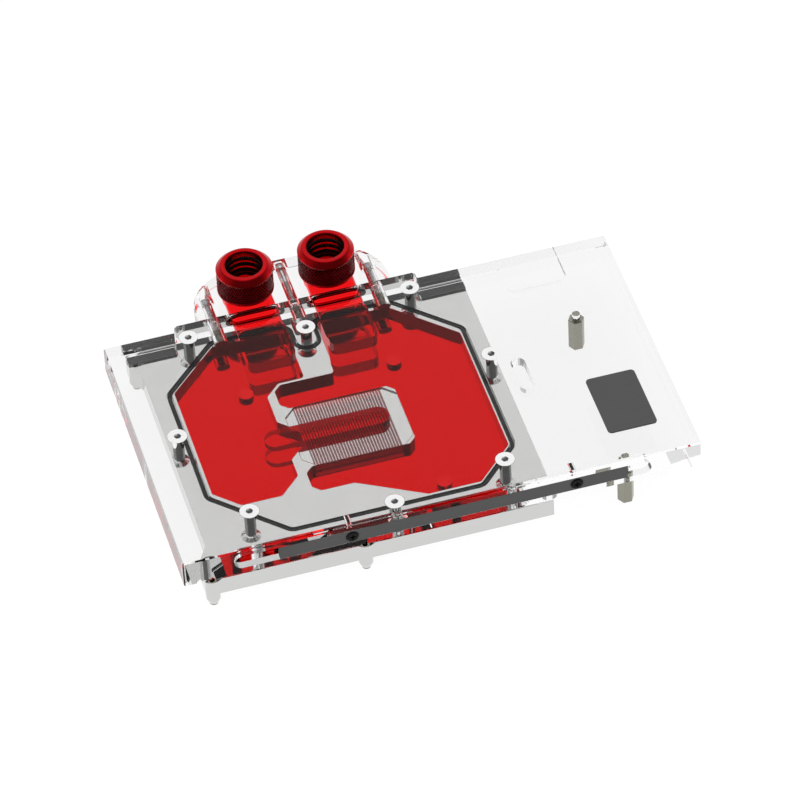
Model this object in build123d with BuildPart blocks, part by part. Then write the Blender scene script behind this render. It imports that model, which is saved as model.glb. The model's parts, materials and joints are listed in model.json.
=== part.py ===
"""Graphics card water block: clear cover, finned cold plate, side terminal and two tube fittings.

Units are millimetres. X runs along the cover, Y runs from the front edge to the terminal, Z is up.
The deck is the face where the cover meets the cold plate. Outlines are drawn on it,
measured from the middle of the cover. The legs stand on Z = 0.
"""
import os

from build123d import *

os.makedirs("parts", exist_ok=True)

# Clearances
slip = 0.05                # between pieces that touch when assembled
screw_play = 0.2           # radial play of a screw in a clear hole
pocket_play = 0.15         # around a piece that lies in a milled pocket

# Clear cover
cover_length = 200.0
cover_width = 120.0
cover_thickness = 12.0
cover_edge = 0.5           # broken outer edges
joint_boss_reach = 3.0     # how far the cover stands out to meet the terminal
joint_boss_half = 48.0
front_edge = -cover_width / 2
back_edge = cover_width / 2
right_edge = cover_length / 2

# Cold plate outline
plate_right = 42.1
plate_left = -88.4
plate_thickness = 7.5
ear_reach = 3.6            # how far the two leg ears stand out on the left
ear_width = 6.5
ear_slope = 6.4
leg_drop = 6.2             # from the underside of the plate to the circuit board

# Coolant chamber, milled in the cold plate
chamber_depth = 5.3
chamber_left = -79.1
chamber_right = 33.2
chamber_back = back_edge - 6.0
chamber_front_left = -31.0
chamber_front_right = front_edge + 12.9
chamber_back_corner = 20.0
chamber_front_corner = 9.0
chamber_outlet_corner = 15.2
mill_radius = 1.5

# The wall that parts inlet from outlet, and the loops around the fins
wall_left = -46.1
wall_thickness = 3.4
loop_back = 25.8
loop_front = -32.9
bridge_back = 26.9
neck_left = -30.0
neck_right = -16.6
neck_waist = -18.4
neck_waist_y = 30.4
neck_shoulder = 12.0       # from the back of the chamber to the step in the neck
wall_corner = 5.8
loop_corner = 2.9
sill_foot = -54.4
sill_left = -27.0
sill_right = -2.5

# Fin field under the jet channel
fins_left = -38.7
fins_right = -4.1
fins_front = -19.7
fins_back = 12.7
fin_pitch = 0.56
fin_gap = 0.26
fin_height = 3.6
fin_block_right = 1.1
fin_block_corner = 2.8
fin_recess = 1.0
recess_corner = 4.5

# Jet channel in the cover, over the middle of the fins
jet_left = -53.7
jet_right = -5.2
jet_width = 9.0
jet_height = 4.0

# Main seal and its groove
seal_left = -81.3
seal_right = 34.9
seal_front = front_edge + 10.8
seal_back = back_edge - 3.5
seal_back_corner = 22.6
seal_corner_land = 3.8     # outside the cut front left corner of the chamber
seal_front_right_corner = 16.7
seal_bend = 4.0
seal_dip_radius = 4.9
seal_width = 2.1
seal_groove_depth = 1.5

# Cover screws, M4 with countersunk heads
cover_screw_places = [
    (-67.6, back_edge - 4.4),
    (-23.5, back_edge - 13.0),
    (20.2, back_edge - 4.7),
    (plate_right - 2.7, 10.5),
    (28.0, front_edge + 15.0),
    (-17.1, front_edge + 6.8),
    (-69.5, chamber_front_left - 10.1),
    (plate_left + 3.5, 5.2),
]
cover_screw_radius = 2.0
cover_screw_head_radius = 3.65
cover_screw_grip = 5.4     # length in the cold plate
cover_screw_key = 2.5      # across flats

# Ports and terminal block
port_mid = -23.5
port_pitch = 32.4
port_width = 18.6
port_height = 5.6
port_axis_z = 6.0
port_radius = 6.6          # bore for the fitting thread
well_depth = 19.3
well_front = chamber_back - well_depth
well_roof = 10.0
well_corner = 3.0
terminal_depth = 24.0
terminal_half = 38.4
terminal_corner = 20.0
port_seal_offset = 1.6
port_seal_cord = 1.6
port_seal_groove_depth = 1.4

# Terminal screws
terminal_screw_radius = 1.75
terminal_screw_head_radius = 2.9
terminal_screw_head = 3.2
terminal_screw_key = 2.5
terminal_side_offset = 32.3
side_screw_seat = 10.0     # from the joint face to the seat of the side screws
mid_screw_seat = terminal_depth - 3.5
side_screw_tip = 11.5      # how far the side screws reach into the cover
mid_screw_tip = 8.5
terminal_insert_radius = 2.6
terminal_insert_length = 7.0

# Tube fittings
collar_radius = 11.0
collar_height = 12.5
collar_chamfer = 1.85
collar_lip = 1.6
tube_bore_radius = 7.25
tube_seal_nip = 0.15       # how far a tube seal stands into the bore
sleeve_radius = 9.4
sleeve_base = 2.0
tube_stop_radius = 5.2
fitting_thread_radius = 6.5
fitting_thread_length = 4.4
tube_seal_cord = 1.9
tube_seal_count = 3
tube_seal_pitch = 2.8
base_seal_cord = 1.2

# Light channels in the front edge
light_channel_length = 160.6
light_channel_height = 6.0
light_channel_depth = 3.0
light_channel_z = 6.0
light_bar_gap_left = 17.0
light_bar_gap_right = 9.3
light_bar_left = light_bar_gap_left - light_channel_length / 2
light_bar_right = light_channel_length / 2 - light_bar_gap_right
light_bar_thickness = 1.9
light_strip_thickness = 0.5
light_strip_height = 4.6
lamp_size = 2.5
lamp_thickness = 0.4
lamp_count = 9
light_screw_inset_left = 27.8
light_screw_inset_right = 19.8
light_screw_places = [
    light_bar_left + light_screw_inset_left,
    light_bar_right - light_screw_inset_right,
]
light_screw_radius = 1.0
light_screw_head_radius = 2.45
light_screw_head = 1.2
light_screw_proud = 0.5
light_screw_length = 8.0

# Rear light strips, in the underside of the cover beside the terminal
rear_strip_front = back_edge - 6.1
rear_strip_width = 4.0
rear_strip_thickness = 1.2
rear_strip_left_span = (-91.8, -73.0)
rear_strip_right_span = (24.5, plate_right - 0.1)

# Underside of the cover, right of the cold plate
cable_slot_place = (48.7, 0.6)
cable_slot_length = 17.5
cable_slot_width = 5.6
cable_slot_depth = 4.0
relief_inset = 19.2        # from the free end of the cover
relief_right = right_edge - relief_inset
relief_length = 23.6
relief_reach = 13.5        # from the back edge
relief_corner = 3.0
relief_depth = 1.6

# Badge
badge_inset = 21.8         # of its middle from the free end of the cover
badge_setback = 30.2       # of its middle from the front edge
badge_length = 19.2
badge_width = 30.0
badge_thickness = 0.6
badge_corner = 1.6

# Legs of the cold plate, and the standoffs under the free end of the cover
leg_places = [
    (plate_left - 0.5, front_edge + 3.0),
    (-30.2, front_edge + 3.0),
    (plate_left - 0.5, back_edge - 3.1),
]
leg_radius = 2.75
leg_nose = 2.2
leg_insert_radius = 1.65
leg_insert_proud = 0.7
leg_thread_radius = 1.05
leg_sink_radius = 4.4
rear_standoff_inset = 22.4
rear_standoff_setback = 34.7
front_standoff_inset = 28.0
front_standoff_setback = 6.4
standoff_places = [
    (right_edge - rear_standoff_inset, back_edge - rear_standoff_setback),
    (right_edge - front_standoff_inset, front_edge + front_standoff_setback),
]
standoff_stud_radius = 1.5
standoff_stud_length = 4.4

# Graphics chip mounting posts, at the corners of the chip's bolt pattern
post_mid = (-23.8, -7.1)
post_spacing_x = 58.4
post_spacing_y = 68.0
post_radius = 2.9
post_crown = 2.6           # height of the blind crown above the chamber floor
post_thread_depth = 9.0

# Contact lands on the underside
chip_land_length = 38.0
chip_land_width = 34.0
land_height = 4.4
land_blend = 1.0
memory_land_height = 3.6
memory_land_width = 11.0
memory_land_length = 44.0
memory_land_reach = 25.5
supply_land_length = 12.0
supply_land_width = 62.0
supply_land_mid = (-76.0, 3.0)
outlet_land_mid = (28.0, -3.0)

# Worked out from the sizes above
deck_z = plate_thickness + leg_drop + leg_insert_proud
board_z = -deck_z
leg_bottom = -plate_thickness - leg_drop
joint_face = back_edge + joint_boss_reach
terminal_back = joint_face + terminal_depth
foremost = front_edge - light_screw_proud
middle_y = (terminal_back + foremost) / 2
deck = Plane((0, -middle_y, deck_z))
cover_top = deck.offset(cover_thickness)
fitting_y = joint_face + terminal_depth / 2
port_places = [(port_mid - port_pitch / 2, fitting_y), (port_mid + port_pitch / 2, fitting_y)]
sides = ["left", "right"]
fin_mid_y = (fins_front + fins_back) / 2
chamber_cut = chamber_left + chamber_front_left + chamber_front_corner
seal_front_left_corner = chamber_cut - seal_corner_land - seal_left - seal_front
jet_mid = ((jet_left + jet_right) / 2, fin_mid_y)
recess_left = wall_left + wall_thickness


def standing(y, x=0.0):
    """Upright plane that faces the front, with its own X along the cover and its Y up."""
    return Plane(deck.from_local_coords((x, y, 0)), x_dir=(1, 0, 0), z_dir=(0, -1, 0))


def on_deck(places, z=0.0):
    """Locations on the deck's own axes, at height z above it."""
    return [deck.location * Location((x, y, z)) for x, y in places]


def spun(plane):
    """Upright axis of a turned piece, through the plane's origin."""
    return Axis(plane.origin, plane.y_dir)


def inlet_outline():
    """Left chamber, from the back corner down and around the parting wall."""
    wedge_tip = fins_left - 0.3
    wedge_half = 3.3
    wedge_mouth = wedge_half + wedge_tip - wall_left
    Polyline(
        (neck_left, chamber_back),
        (chamber_left + chamber_back_corner, chamber_back),
        (chamber_left, chamber_back - chamber_back_corner),
        (chamber_left, chamber_front_left + chamber_front_corner),
        (chamber_left + chamber_front_corner, chamber_front_left),
        (sill_foot, chamber_front_left),
        (wall_left, chamber_front_left + wall_left - sill_foot),
        (wall_left, fin_mid_y - wedge_mouth),
        (wedge_tip, fin_mid_y - wedge_half),
        (wedge_tip, fin_mid_y + wedge_half),
        (wall_left, fin_mid_y + wedge_mouth),
        (wall_left, bridge_back - wall_corner),
        (wall_left + wall_corner, bridge_back),
        (neck_left, bridge_back),
        close=True,
    )


def outlet_outline():
    """Right chamber with its two loops, which run in beside the fins."""
    loop_left = wall_left + wall_thickness
    Polyline(
        (neck_right, chamber_back),
        (neck_right, chamber_back - neck_shoulder),
        (neck_waist, neck_waist_y),
        (neck_waist, loop_back),
        (loop_left + loop_corner, loop_back),
        (loop_left, loop_back - loop_corner),
        (loop_left, fins_back + loop_corner),
        (loop_left + loop_corner, fins_back),
        (fin_block_right - fin_block_corner, fins_back),
        (fin_block_right, fins_back - fin_block_corner),
        (fin_block_right, fins_front + fin_block_corner),
        (fin_block_right - fin_block_corner, fins_front),
        (loop_left + loop_corner, fins_front),
        (loop_left, fins_front - loop_corner),
        (loop_left, loop_front + loop_corner),
        (loop_left + loop_corner, loop_front),
        (sill_left, loop_front),
        (sill_right, chamber_front_right),
        (chamber_right - chamber_outlet_corner, chamber_front_right),
        (chamber_right, chamber_front_right + chamber_outlet_corner),
        (chamber_right, chamber_back - chamber_back_corner - 2.5),
        (chamber_right - chamber_back_corner - 2.5, chamber_back),
        close=True,
    )


def recess_outline():
    """Shallow seat around the fins, with its four corners cut."""
    Polyline(
        (recess_left, fins_back - recess_corner),
        (recess_left + recess_corner, fins_back),
        (fin_block_right - recess_corner, fins_back),
        (fin_block_right + slip, fins_back - recess_corner),
        (fin_block_right + slip, fins_front + recess_corner),
        (fin_block_right - recess_corner, fins_front),
        (recess_left + recess_corner, fins_front),
        (recess_left, fins_front + recess_corner),
        close=True,
    )


def seal_outline():
    """Middle line of the main seal, with its dip around the screw between the ports."""
    dip_x, dip_y = cover_screw_places[1]
    Polyline(
        (dip_x - seal_dip_radius, dip_y),
        (dip_x - seal_dip_radius, seal_back),
        (seal_left + seal_back_corner, seal_back),
        (seal_left, seal_back - seal_back_corner),
        (seal_left, seal_front + seal_front_left_corner),
        (seal_left + seal_front_left_corner, seal_front),
        (seal_right - seal_front_right_corner, seal_front),
        (seal_right, seal_front + seal_front_right_corner),
        (seal_right, seal_back - seal_back_corner),
        (seal_right - seal_back_corner, seal_back),
        (dip_x + seal_dip_radius, seal_back),
        (dip_x + seal_dip_radius, dip_y),
    )
    ThreePointArc(
        (dip_x + seal_dip_radius, dip_y),
        (dip_x, dip_y - seal_dip_radius),
        (dip_x - seal_dip_radius, dip_y),
    )


def seal_face(width):
    """Band of the given width along the main seal's middle line."""
    with BuildSketch(Plane.XY) as enclosed:
        with BuildLine():
            seal_outline()
        make_face()
        bends = [v for v in enclosed.vertices() if abs(v.Y - cover_screw_places[1][1]) > 0.1]
        fillet(bends, radius=seal_bend)
    with BuildSketch(deck) as band:
        add(enclosed.sketch)
        offset(amount=width / 2, kind=Kind.ARC)
        with BuildSketch(Plane.XY, mode=Mode.PRIVATE) as inside:
            add(enclosed.sketch)
            offset(amount=-width / 2, kind=Kind.ARC)
        add(inside.sketch, mode=Mode.SUBTRACT)
    return band.sketch


# Cold plate: nickel-plated copper, with the chamber, fins, legs and chip lands
with BuildPart() as cold_plate:
    ear_left = plate_left - ear_reach
    with BuildSketch(deck):
        with BuildLine():
            Polyline(
                (plate_right, front_edge),
                (plate_right, back_edge),
                (ear_left, back_edge),
                (ear_left, back_edge - ear_width),
                (plate_left, back_edge - ear_width - ear_slope),
                (plate_left, front_edge + ear_width + ear_slope),
                (ear_left, front_edge + ear_width),
                (ear_left, front_edge),
                close=True,
            )
        make_face()
    extrude(amount=-plate_thickness)
    ear_edges = cold_plate.edges().filter_by(Axis.Z).group_by(Axis.X)[0]
    fillet(ear_edges.sort_by(Axis.Y)[-1], radius=1.0)
    fillet(cold_plate.edges().filter_by(Axis.Z).group_by(Axis.X)[0].sort_by(Axis.Y)[0], radius=1.0)

    # lands that touch the chip, the memory and the supply stages
    underside = deck.offset(-plate_thickness)
    fin_mid_x = (fins_left + fins_right) / 2
    with BuildSketch(underside):
        with Locations((fin_mid_x, fin_mid_y)):
            RectangleRounded(chip_land_length, chip_land_width, land_blend)
    extrude(amount=-land_height)
    with BuildSketch(underside):
        with Locations(
            (fin_mid_x, fin_mid_y + memory_land_reach),
            (fin_mid_x, fin_mid_y - memory_land_reach),
        ):
            RectangleRounded(memory_land_length, memory_land_width, land_blend)
        with Locations(supply_land_mid, outlet_land_mid):
            RectangleRounded(supply_land_length, supply_land_width, land_blend)
    extrude(amount=-memory_land_height)

    # chamber, open to the cover
    with BuildSketch(deck) as chambers:
        with BuildLine():
            inlet_outline()
        make_face()
        with BuildLine():
            outlet_outline()
        make_face()
        fillet(chambers.vertices(), radius=mill_radius)
    extrude(amount=-chamber_depth, mode=Mode.SUBTRACT)

    # seat for the jet plate, then the fins themselves
    with BuildSketch(deck):
        with BuildLine():
            recess_outline()
        make_face()
    extrude(amount=-fin_recess, mode=Mode.SUBTRACT)
    fin_gaps = int((fins_right - fins_left) / fin_pitch)
    with BuildSketch(deck.offset(-fin_recess)):
        with Locations((fin_mid_x, fin_mid_y)):
            with GridLocations(fin_pitch, 1, fin_gaps, 1):
                Rectangle(fin_gap, fins_back - fins_front)
    extrude(amount=-fin_height, mode=Mode.SUBTRACT)

    # groove for the main seal
    add(extrude(seal_face(seal_width + 2 * slip), amount=-seal_groove_depth, mode=Mode.PRIVATE),
        mode=Mode.SUBTRACT)

    # mounting posts for the chip, each with a blind crown inside the chamber
    with BuildSketch(deck.offset(-chamber_depth + post_crown)):
        with Locations(post_mid):
            with GridLocations(post_spacing_x, post_spacing_y, 2, 2):
                Circle(post_radius)
    extrude(amount=board_z + chamber_depth - post_crown)
    with BuildSketch(deck.offset(board_z)):
        with Locations(post_mid):
            with GridLocations(post_spacing_x, post_spacing_y, 2, 2):
                Circle(leg_thread_radius)
    extrude(amount=post_thread_depth, mode=Mode.SUBTRACT)

    # legs with a tapered nose, drilled through for the threaded inserts
    with Locations(*on_deck(leg_places, leg_bottom)):
        Cylinder(leg_radius, leg_drop, align=(Align.CENTER, Align.CENTER, Align.MIN))
    noses = cold_plate.edges().filter_by(GeomType.CIRCLE)
    noses = noses.filter_by(lambda e: abs(e.radius - leg_radius) < 0.01)
    chamfer(noses.group_by(Axis.Z)[0], length=leg_nose, length2=leg_radius - leg_insert_radius - 0.25)
    with Locations(*on_deck(leg_places)):
        CounterSinkHole(leg_insert_radius + slip, leg_sink_radius, counter_sink_angle=90)

    # tapped holes for the cover screws
    with Locations(*on_deck(cover_screw_places)):
        Hole(cover_screw_radius + slip, depth=cover_screw_grip + 0.5)
cold_plate.part.label = "cold_plate"
export_step(cold_plate.part, "parts/cold_plate.step")


# Clear cover, with the ports, the jet channel, the light channel and its screw holes
with BuildPart() as cover_plate:
    with BuildSketch(deck) as outline:
        Rectangle(cover_length, cover_width)
        with Locations((port_mid, 0)):
            Rectangle(2 * joint_boss_half, joint_face, align=(Align.CENTER, Align.MIN))
        chamfer(outline.vertices(), length=cover_edge)
    extrude(amount=cover_thickness)
    rims = cover_plate.edges().filter_by(Plane.XY).sort_by(Axis.Y)
    chamfer(rims[:-2], length=cover_edge)

    # flow path: passages from the joint face, wells down to the chamber, jet channel
    port_columns = [(x, port_axis_z) for x, y in port_places]
    with BuildSketch(standing(joint_face)):
        with Locations(*port_columns):
            SlotOverall(port_width, port_height)
    extrude(amount=joint_face - chamber_back + well_corner, mode=Mode.SUBTRACT)
    with BuildSketch(deck):
        for x, y in port_places:
            with Locations((x, (well_front + chamber_back) / 2)):
                RectangleRounded(port_width, chamber_back - well_front, well_corner)
    extrude(amount=well_roof, mode=Mode.SUBTRACT)
    with BuildSketch(deck) as jet_plate:
        with BuildLine():
            recess_outline()
        make_face()
        offset(amount=-pocket_play, kind=Kind.INTERSECTION)
    extrude(amount=slip - fin_recess)
    with BuildSketch(deck.offset(-fin_recess)):
        with Locations(jet_mid):
            SlotOverall(jet_right - jet_left, jet_width)
    extrude(amount=fin_recess + jet_height, mode=Mode.SUBTRACT)

    # grooves for the two port seals
    with BuildSketch(standing(joint_face)):
        with Locations(*port_columns):
            SlotOverall(
                port_width + 2 * port_seal_offset + port_seal_cord + 2 * slip,
                port_height + 2 * port_seal_offset + port_seal_cord + 2 * slip,
            )
            SlotOverall(
                port_width + 2 * port_seal_offset - port_seal_cord - 2 * slip,
                port_height + 2 * port_seal_offset - port_seal_cord - 2 * slip,
                mode=Mode.SUBTRACT,
            )
    extrude(amount=port_seal_groove_depth, mode=Mode.SUBTRACT)

    # holes for the terminal screws and their threaded inserts
    with BuildSketch(standing(joint_face)):
        with Locations(
            (port_mid - terminal_side_offset, port_axis_z),
            (port_mid + terminal_side_offset, port_axis_z),
        ):
            Circle(terminal_insert_radius + slip)
    extrude(amount=side_screw_tip + screw_play, mode=Mode.SUBTRACT)
    with BuildSketch(standing(joint_face)):
        with Locations((port_mid, port_axis_z)):
            Circle(terminal_insert_radius + slip)
    extrude(amount=mid_screw_tip + screw_play, mode=Mode.SUBTRACT)

    # front light channel with the pilot holes of its two screws
    with BuildSketch(standing(front_edge)):
        with Locations((0, light_channel_z)):
            SlotOverall(light_channel_length, light_channel_height)
    extrude(amount=-light_channel_depth, mode=Mode.SUBTRACT)
    with BuildSketch(standing(front_edge)):
        with Locations(*[(x, light_channel_z) for x in light_screw_places]):
            Circle(light_screw_radius + slip)
    extrude(amount=-(light_screw_length + screw_play), mode=Mode.SUBTRACT)

    # underside: rear light strips, standoff studs, cable slot and edge relief
    with BuildSketch(deck):
        for start, end in (rear_strip_left_span, rear_strip_right_span):
            with Locations(((start + end) / 2, rear_strip_front + rear_strip_width / 2)):
                Rectangle(end - start + 2 * pocket_play, rear_strip_width + 2 * pocket_play)
    extrude(amount=rear_strip_thickness + 2 * slip, mode=Mode.SUBTRACT)
    with BuildSketch(deck):
        with Locations(*standoff_places):
            Circle(standoff_stud_radius + slip)
    extrude(amount=standoff_stud_length + screw_play, mode=Mode.SUBTRACT)
    with BuildSketch(deck):
        with Locations(cable_slot_place):
            SlotOverall(cable_slot_length, cable_slot_width, rotation=90)
    extrude(amount=cable_slot_depth, mode=Mode.SUBTRACT)
    with BuildSketch(deck):
        with Locations((relief_right - relief_length / 2, back_edge)):
            RectangleRounded(relief_length, 2 * relief_reach, relief_corner)
    extrude(amount=relief_depth, mode=Mode.SUBTRACT)

    # clear holes for the cover screws, sunk for their heads
    with Locations(*on_deck(cover_screw_places, cover_thickness)):
        CounterSinkHole(
            cover_screw_radius + screw_play,
            cover_screw_head_radius + 2 * slip,
            counter_sink_angle=90,
        )
cover_plate.part.label = "cover_plate"
export_step(cover_plate.part, "parts/cover_plate.step")

# Main seal between cover and cold plate, pressed to the depth of its groove
with BuildPart() as chamber_seal:
    add(extrude(seal_face(seal_width), amount=slip - seal_groove_depth, mode=Mode.PRIVATE))
    chamfer(chamber_seal.edges().filter_by(Plane.XY), length=0.4)
chamber_seal.part.label = "chamber_seal"
export_step(chamber_seal.part, "parts/chamber_seal.step")

# Coolant: one body from the left port to the jet channel, one from the fins to the right port
for flow, outline, place in zip(["inlet", "outlet"], [inlet_outline, outlet_outline], port_places):
    with BuildPart() as coolant:
        with BuildSketch(deck.offset(-slip)) as fill:
            with BuildLine():
                outline()
            make_face()
            fillet(fill.vertices(), radius=mill_radius)
            offset(amount=-slip)
        extrude(amount=-(chamber_depth - 2 * slip))
        with BuildSketch(deck.offset(-chamber_depth)):
            with Locations(post_mid):
                with GridLocations(post_spacing_x, post_spacing_y, 2, 2):
                    Circle(post_radius + slip)
        extrude(amount=post_crown + slip, mode=Mode.SUBTRACT)

        if flow == "inlet":
            # under the jet plate beside its channel
            jet_slot = (jet_right - jet_left - 2 * slip, jet_width - 2 * slip)
            with BuildSketch(deck):
                with BuildLine():
                    recess_outline()
                make_face()
                with Locations(jet_mid):
                    SlotOverall(*jet_slot, mode=Mode.SUBTRACT)
            extrude(amount=-fin_recess, mode=Mode.SUBTRACT)

            # into the jet channel over the parting wall, and down to the tops of the fins
            with BuildSketch(deck.offset(slip - fin_recess)):
                with BuildLine():
                    recess_outline()
                make_face()
                offset(amount=-slip)
                with Locations(jet_mid):
                    SlotOverall(*jet_slot, mode=Mode.INTERSECT)
            extrude(amount=fin_recess)
            with BuildSketch(deck.offset(-3 * slip)):
                with BuildLine():
                    inlet_outline()
                make_face()
                offset(amount=-slip)
                with Locations(jet_mid):
                    SlotOverall(*jet_slot, mode=Mode.INTERSECT)
            extrude(amount=6 * slip)
            with BuildSketch(deck.offset(slip)):
                with Locations(jet_mid):
                    SlotOverall(*jet_slot)
            extrude(amount=jet_height - 2 * slip)
        else:
            # a sheet in each gap of the fins, open to both loops
            with BuildSketch(deck.offset(-fin_recess - slip)):
                with Locations((fin_mid_x, fin_mid_y)):
                    with GridLocations(fin_pitch, 1, fin_gaps, 1):
                        Rectangle(fin_gap - 2 * slip, fins_back - fins_front + 4 * slip)
            extrude(amount=2 * slip - fin_height)

        # well, passage, and the bore up through the thread of the fitting
        well_mid = (place[0], (well_front + chamber_back) / 2)
        well_size = (port_width - 2 * slip, chamber_back - well_front - 2 * slip)
        with BuildSketch(deck.offset(-3 * slip)):
            with BuildLine():
                outline()
            make_face()
            offset(amount=-slip)
            with Locations(well_mid):
                RectangleRounded(*well_size, well_corner, mode=Mode.INTERSECT)
        extrude(amount=5 * slip)
        with BuildSketch(deck.offset(slip)):
            with Locations(well_mid):
                RectangleRounded(*well_size, well_corner)
        extrude(amount=well_roof - 2 * slip)
        with BuildSketch(standing(fitting_y)):
            with Locations((place[0], port_axis_z)):
                SlotOverall(port_width - 2 * slip, port_height - 2 * slip)
        extrude(amount=fitting_y - chamber_back + well_corner)
        with Locations(*on_deck([place], port_axis_z)):
            Cylinder(port_width / 2 - slip, port_height - 2 * slip)
        with Locations(*on_deck([place], cover_thickness - fitting_thread_length - slip)):
            Cylinder(
                fitting_thread_radius + slip,
                fitting_thread_length,
                align=(Align.CENTER, Align.CENTER, Align.MIN),
                mode=Mode.SUBTRACT,
            )
        with Locations(*on_deck([place], port_axis_z)):
            Cylinder(
                tube_stop_radius - slip,
                cover_thickness - port_axis_z,
                align=(Align.CENTER, Align.CENTER, Align.MIN),
            )
    coolant.part.label = f"coolant_{flow}"
    export_step(coolant.part, f"parts/coolant_{flow}.step")

# Terminal block with the two threaded ports on top
with BuildPart() as terminal_block:
    with BuildSketch(deck) as outline:
        with Locations((port_mid, joint_face + slip)):
            Rectangle(
                2 * terminal_half, terminal_depth - slip, align=(Align.CENTER, Align.MIN)
            )
        ends = outline.vertices().group_by(Axis.Y)[-1]
        fillet(ends, radius=min(terminal_corner, terminal_depth - 2 * cover_edge))
    extrude(amount=cover_thickness)
    rims = terminal_block.edges().filter_by(Plane.XY).sort_by(Axis.Y)
    chamfer(rims[2:], length=cover_edge)
    with BuildSketch(standing(joint_face)):
        with Locations(*port_columns):
            SlotOverall(port_width, port_height)
    extrude(amount=-(fitting_y - joint_face), mode=Mode.SUBTRACT)
    with Locations(*on_deck(port_places, port_axis_z)):
        Cylinder(port_width / 2, port_height, mode=Mode.SUBTRACT)
    with Locations(*on_deck(port_places, cover_thickness)):
        Hole(port_radius, depth=cover_thickness - port_axis_z)

    # screw holes along the joint, each with a deep seat for its head
    side_columns = [
        (port_mid - terminal_side_offset, port_axis_z),
        (port_mid + terminal_side_offset, port_axis_z),
    ]
    with BuildSketch(standing(joint_face)):
        with Locations((port_mid, port_axis_z), *side_columns):
            Circle(terminal_screw_radius + screw_play)
    extrude(amount=-terminal_depth, mode=Mode.SUBTRACT)
    with BuildSketch(standing(joint_face + side_screw_seat)):
        with Locations(*side_columns):
            Circle(terminal_screw_head_radius + screw_play)
    extrude(amount=-terminal_depth, mode=Mode.SUBTRACT)
    with BuildSketch(standing(joint_face + mid_screw_seat)):
        with Locations((port_mid, port_axis_z)):
            Circle(terminal_screw_head_radius + screw_play)
    extrude(amount=-terminal_depth, mode=Mode.SUBTRACT)
terminal_block.part.label = "terminal_block"
export_step(terminal_block.part, "parts/terminal_block.step")

# Screws of the terminal block and their inserts in the cover
terminal_screws = [
    ("left", port_mid - terminal_side_offset, side_screw_seat, side_screw_tip),
    ("middle", port_mid, mid_screw_seat, mid_screw_tip),
    ("right", port_mid + terminal_side_offset, side_screw_seat, side_screw_tip),
]
for name, x, seat, tip in terminal_screws:
    with BuildPart() as terminal_screw:
        with BuildSketch(standing(joint_face + seat + slip)):
            with Locations((x, port_axis_z)):
                Circle(terminal_screw_head_radius)
        extrude(amount=-terminal_screw_head)
        chamfer(terminal_screw.edges().group_by(Axis.Y)[-1], length=0.3)
        with BuildSketch(standing(joint_face + seat + slip)):
            with Locations((x, port_axis_z)):
                Circle(terminal_screw_radius)
        extrude(amount=seat + tip)
        chamfer(terminal_screw.edges().group_by(Axis.Y)[0], length=0.4)
        with BuildSketch(standing(joint_face + seat + slip + terminal_screw_head)):
            with Locations((x, port_axis_z)):
                RegularPolygon(terminal_screw_key / 2, 6, major_radius=False)
        extrude(amount=0.6 * terminal_screw_head, mode=Mode.SUBTRACT)
    terminal_screw.part.label = f"terminal_screw_{name}"
    export_step(terminal_screw.part, f"parts/terminal_screw_{name}.step")

    with BuildPart() as terminal_insert:
        with BuildSketch(standing(joint_face - tip)):
            with Locations((x, port_axis_z)):
                Circle(terminal_insert_radius)
                Circle(terminal_screw_radius + slip, mode=Mode.SUBTRACT)
        extrude(amount=-terminal_insert_length)
    terminal_insert.part.label = f"terminal_insert_{name}"
    export_step(terminal_insert.part, f"parts/terminal_insert_{name}.step")

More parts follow.
